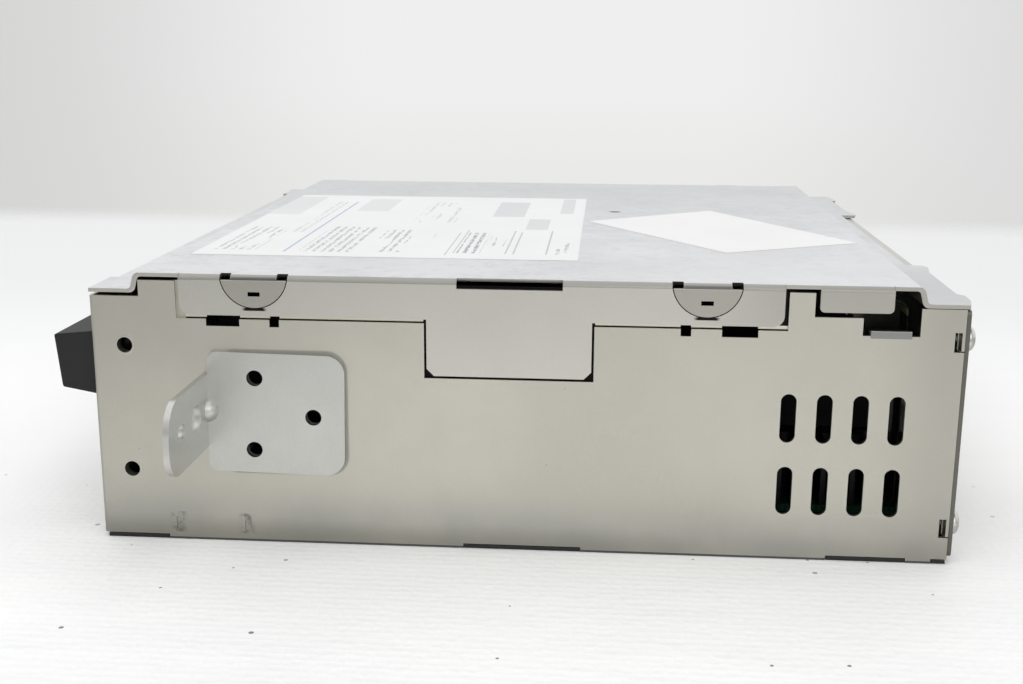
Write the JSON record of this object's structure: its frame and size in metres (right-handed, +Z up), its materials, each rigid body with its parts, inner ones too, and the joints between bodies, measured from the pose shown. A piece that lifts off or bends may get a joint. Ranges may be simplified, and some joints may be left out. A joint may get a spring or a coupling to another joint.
{
  "type": "slot-loading disc player unit",
  "caption": "Slot-loading disc player in a folded sheet metal case with a clip-on lid, slotted plastic nose, side brackets and rear sockets; a sprung loading and pickup mechanism inside.",
  "frame": {"origin": "middle of the case footprint on the plane the case rests on", "axes": "+X from the disc slot to the rear sockets, +Y across the case, +Z up"},
  "size_m": [0.195, 0.23, 0.058],
  "materials": {
    "zinc_plated_sheet": "satin electro-galvanised sheet with a fine grain, slightly warm",
    "cover_sheet": "lighter satin galvanised sheet with light scuffs",
    "bracket_steel": "bright zinc plated steel, cooler silver",
    "nickel_screws": "bright nickel plated",
    "nose_plastic": "dark charcoal, fine texture",
    "key_plastic": "dark grey, smooth",
    "black_plastic": "black moulded",
    "spring_steel": "bright drawn wire",
    "circuit_board": "green solder mask",
    "capacitor_sleeve": "dark blue shrink sleeve with a bare top",
    "tinned_shield": "tinned sheet",
    "black_anodised": "extruded, black anodised",
    "brass_contacts": "bright brass",
    "flat_cable": "amber film over copper tracks",
    "plated_deck_steel": "zinc plated pressed steel",
    "polished_steel": "ground and polished",
    "motor_steel": "drawn motor can",
    "black_rubber": "matt rubber",
    "white_nylon": "natural acetal",
    "cast_sled": "die cast zinc",
    "lens_glass": "coated lens in a moulded holder",
    "label_paper": "bare coated label paper"
  },
  "bodies": {
    "case": {"board_chips": "black_plastic", "bottom_cover": "zinc_plated_sheet", "capacitors": "capacitor_sleeve", "chassis_frame": "zinc_plated_sheet", "clamp_arm_pins": "plated_deck_steel", "connector_pins": "brass_contacts", "control_connector": "black_plastic", "damper_screws": "nickel_screws", "deck_base": "plated_deck_steel", "deck_dampers": "black_rubber", "deck_flex_cable": "flat_cable", "deck_posts": "plated_deck_steel", "door_spring": "spring_steel", "eject_button_spring": "spring_steel", "eject_switch": "black_plastic", "feed_motor": "motor_steel", "front_board": "circuit_board", "front_board_cable": "flat_cable", "guide_rods": "polished_steel", "heat_sink": "black_anodised", "left_bracket": "bracket_steel", "loading_motor": "motor_steel", "main_board": "circuit_board", "mechanism_pins": "plated_deck_steel", "pickup_flex_cable": "flat_cable", "power_connector": "black_plastic", "power_transistors": "black_plastic", "rating_label": "label_paper", "rear_plate": "zinc_plated_sheet", "rear_plate_screws": "nickel_screws", "right_bracket": "bracket_steel", "riser_board": "circuit_board", "service_sticker": "label_paper", "shield_can": "tinned_shield", "short_screws": "nickel_screws", "slot_nose": "nose_plastic", "spindle_motor": "motor_steel", "top_cover": "cover_sheet", "traverse_frame": "black_plastic", "traverse_washers": "black_rubber", "upper_connector": "black_plastic", "upper_disc_guide": "black_plastic", "video_connector": "black_plastic"},
    "eject_button": {"eject_button": "key_plastic"},
    "slot_door": {"slot_door": "black_plastic"},
    "cam_slider": {"cam_slider": "plated_deck_steel"},
    "clamp_arm": {"clamp_arm": "plated_deck_steel"},
    "clamper": {"clamper": "white_nylon"},
    "roller_arm": {"roller_arm": "plated_deck_steel"},
    "loading_roller": {"roller_shaft": "polished_steel", "roller_sleeves": "black_rubber", "roller_gear": "white_nylon"},
    "idler_gear": {"idler_gear": "white_nylon"},
    "reduction_gear": {"reduction_gear": "white_nylon"},
    "motor_pinion": {"motor_pinion": "brass_contacts"},
    "turntable": {"turntable": "white_nylon"},
    "pickup_sled": {"pickup_sled": "cast_sled"},
    "objective_lens": {"objective_lens": "lens_glass"},
    "feed_gear": {"feed_gear": "white_nylon"},
    "feed_pinion": {"feed_pinion": "brass_contacts"}
  },
  "joints": [
    {"name": "eject_button_press", "type": "slide", "parent": "case", "child": "eject_button", "axis": [1, 0, 0], "range_m": [0, 0.001], "stiffness_N_per_m": 400, "springref_m": -0.0005, "deforming": ["eject_button_spring"]},
    {"name": "slot_door_swing", "type": "hinge", "parent": "case", "child": "slot_door", "pos_m": [-0.086, 0, 0.043], "axis": [0, -1, 0], "range_deg": [0, 70], "stiffness_Nm_per_rad": 0.003, "springref_deg": -20.05},
    {"name": "cam_slide", "type": "slide", "parent": "case", "child": "cam_slider", "axis": [1, 0, 0], "range_m": [0, 0.01]},
    {"name": "clamp_arm_swing", "type": "hinge", "parent": "case", "child": "clamp_arm", "pos_m": [0.066, 0, 0.0445], "axis": [0, -1, 0], "range_deg": [0, 3.77]},
    {"name": "clamper_spin", "type": "hinge", "parent": "clamp_arm", "child": "clamper", "pos_m": [-0.004, 0, 0.046], "axis": [0, 0, 1], "continuous": true},
    {"name": "roller_arm_swing", "type": "hinge", "parent": "case", "child": "roller_arm", "pos_m": [-0.058, 0, 0.029], "axis": [0, -1, 0], "range_deg": [0, 13]},
    {"name": "roller_spin", "type": "hinge", "parent": "roller_arm", "child": "loading_roller", "pos_m": [-0.073, 0, 0.0328], "axis": [0, 1, 0], "continuous": true},
    {"name": "idler_gear_spin", "type": "hinge", "parent": "case", "child": "idler_gear", "pos_m": [-0.06755, -0.074, 0.04349], "axis": [0, 1, 0], "continuous": true},
    {"name": "reduction_gear_spin", "type": "hinge", "parent": "case", "child": "reduction_gear", "pos_m": [-0.05804, -0.074, 0.03905], "axis": [0, 1, 0], "continuous": true},
    {"name": "motor_pinion_spin", "type": "hinge", "parent": "case", "child": "motor_pinion", "pos_m": [-0.04848, -0.074, 0.031], "axis": [0, 1, 0], "continuous": true},
    {"name": "turntable_spin", "type": "hinge", "parent": "case", "child": "turntable", "pos_m": [-0.004, 0, 0.03], "axis": [0, 0, 1], "continuous": true},
    {"name": "sled_slide", "type": "slide", "parent": "case", "child": "pickup_sled", "axis": [1, 0, 0], "range_m": [0, 0.034]},
    {"name": "lens_focus", "type": "slide", "parent": "pickup_sled", "child": "objective_lens", "axis": [0, 0, 1], "range_m": [-0.0004, 0.0004], "stiffness_N_per_m": 60},
    {"name": "feed_gear_spin", "type": "hinge", "parent": "case", "child": "feed_gear", "pos_m": [0.038, 0.034, 0.03], "axis": [0, 0, 1], "range_deg": [0, 650]},
    {"name": "feed_pinion_spin", "type": "hinge", "parent": "case", "child": "feed_pinion", "pos_m": [0.04475, 0.04204, 0.03], "axis": [0, 0, 1], "range_deg": [-2080, 0]}
  ],
  "couplings": [
    {"joint": "clamp_arm_swing", "follows": "cam_slide", "rad_per_m": 6.5792},
    {"joint": "roller_arm_swing", "follows": "cam_slide", "rad_per_m": 22.687},
    {"joint": "idler_gear_spin", "follows": "roller_spin", "ratio": -0.71429},
    {"joint": "reduction_gear_spin", "follows": "roller_spin", "ratio": 1.4286},
    {"joint": "motor_pinion_spin", "follows": "roller_spin", "ratio": -5.7143},
    {"joint": "feed_gear_spin", "follows": "sled_slide", "rad_per_m": 333.33},
    {"joint": "feed_pinion_spin", "follows": "sled_slide", "rad_per_m": -1066.7}
  ]
}
